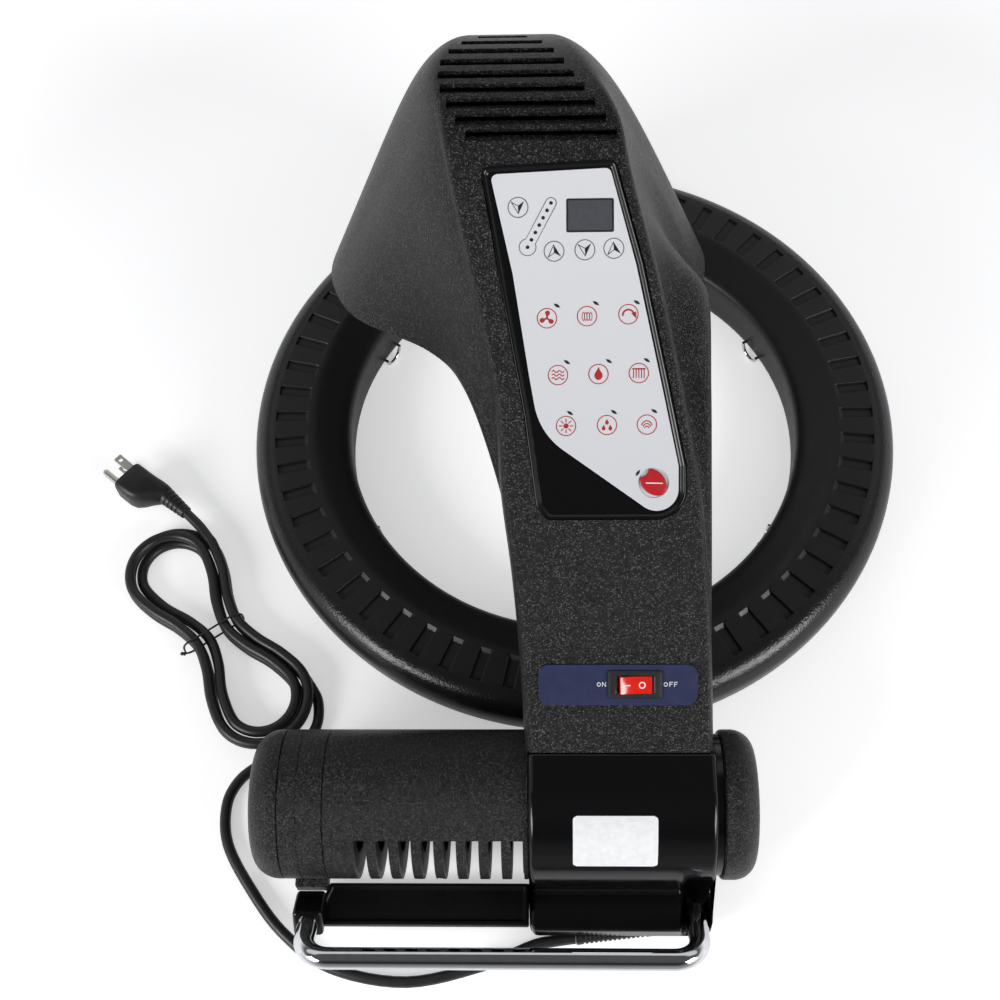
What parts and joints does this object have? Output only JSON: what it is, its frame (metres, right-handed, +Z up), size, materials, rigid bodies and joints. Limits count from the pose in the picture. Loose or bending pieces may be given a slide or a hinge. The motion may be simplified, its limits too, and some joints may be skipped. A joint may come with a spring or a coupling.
{
  "type": "hood hair dryer",
  "caption": "Orbiting ring hair dryer head: a slotted heater ring turns under a bell housing on an arm with a control panel, a hinge barrel with stand socket, a carrying handle and a mains lead.",
  "frame": {"origin": "bottom centre of the object without its cord, on the floor it lies on", "axes": "+Z up, +X along the hinge barrel towards its panel end cap, +Y from the hinge barrel towards the bell"},
  "size_m": [0.5539, 0.5975, 0.2876],
  "materials": {
    "grain_black": "leather-grain satin",
    "gloss_black": "gloss",
    "overlay_silver": "satin film",
    "display_grey": "gloss window",
    "key_red": "satin",
    "board_green": "satin",
    "plate_navy": "satin",
    "frame_grey": "satin",
    "rocker_red": "translucent gloss",
    "label_white": "satin",
    "steel": "satin",
    "bronze": "satin",
    "carbon_brown": "matte",
    "socket_metal": "satin",
    "chrome": "polished",
    "reflector": "polished",
    "gear_white": "satin",
    "heater_glass": "clear quartz",
    "ceramic_white": "matte",
    "cord_black": "satin"
  },
  "bodies": {
    "housing": {"arm_shell": "grain_black", "arm_base": "grain_black", "bell_floor": "grain_black", "panel_bezel": "gloss_black", "control_overlay": "overlay_silver", "timer_display": "display_grey", "control_board": "board_green", "switch_plate": "plate_navy", "switch_frame": "frame_grey", "elbow_cover": "gloss_black", "elbow_rear": "grain_black", "blank_label": "label_white", "yoke_plate": "grain_black", "left_band": "grain_black", "left_end_cap": "grain_black", "right_collar": "gloss_black", "right_end_cap": "grain_black", "hinge_pins": "steel", "friction_discs": "steel", "balance_spring": "steel", "handle_bracket": "gloss_black", "handle_boss": "gloss_black", "handle_tube": "chrome", "rotor_carrier": "steel", "carrier_posts": "steel", "rotor_bushes": "bronze", "brush_block": "carbon_brown", "drive_motor": "steel", "fan_plate": "gloss_black", "fan_motor": "steel", "housing_screws": "steel", "strain_relief": "cord_black", "power_cord": "cord_black", "cord_hank": "cord_black", "cord_tail": "cord_black", "cord_tie": "cord_black", "plug_relief": "cord_black", "plug_body": "cord_black", "plug_blades": "bronze"},
    "barrel": {"barrel_front_shell": "grain_black", "barrel_rear_shell": "grain_black", "barrel_hubs": "grain_black", "hinge_bushes": "bronze", "stand_socket": "socket_metal", "clamp_screw": "steel"},
    "ring": {"rotor_shaft": "steel", "rotor_disc": "gloss_black", "rotor_gear": "gear_white", "ring_neck": "gloss_black", "slip_ring": "bronze", "ring_upper_shell": "gloss_black", "ring_base": "gloss_black", "reflector": "reflector", "heater_tubes": "heater_glass", "heater_holders": "ceramic_white", "wire_guards": "chrome"},
    "pinion": {"drive_pinion": "gear_white"},
    "fan": {"fan_wheel": "gloss_black"},
    "rocker": {"rocker": "rocker_red"},
    "start_key": {"start_key": "key_red"}
  },
  "joints": [
    {"name": "head_tilt", "type": "hinge", "parent": "housing", "child": "barrel", "pos_m": [-0.09, -0.1995, 0.0445], "axis": [1, 0, 0], "range_deg": [-12, 75]},
    {"name": "ring_orbit", "type": "hinge", "parent": "housing", "child": "ring", "pos_m": [0, 0.1261, 0.0027], "axis": [0, 0.4067, 0.9135], "continuous": true},
    {"name": "pinion_spin", "type": "hinge", "parent": "housing", "child": "pinion", "pos_m": [-0.06465, 0.17084, 0.10319], "axis": [0, 0.4067, 0.9135], "continuous": true},
    {"name": "fan_spin", "type": "hinge", "parent": "housing", "child": "fan", "pos_m": [-0.037, 0.20745, 0.18541], "axis": [0, 0.4067, 0.9135], "continuous": true},
    {"name": "power_rocker", "type": "hinge", "parent": "housing", "child": "rocker", "pos_m": [0.0331, -0.15037, 0.11539], "axis": [0, 0.8406, 0.5417], "range_deg": [-14, 0]},
    {"name": "start_press", "type": "slide", "parent": "housing", "child": "start_key", "axis": [0, 0.5417, -0.8406], "range_m": [0, 0.0006], "stiffness_N_per_m": 500, "springref_m": -0.0004}
  ],
  "couplings": [
    {"joint": "pinion_spin", "follows": "ring_orbit", "ratio": -5.1429}
  ]
}
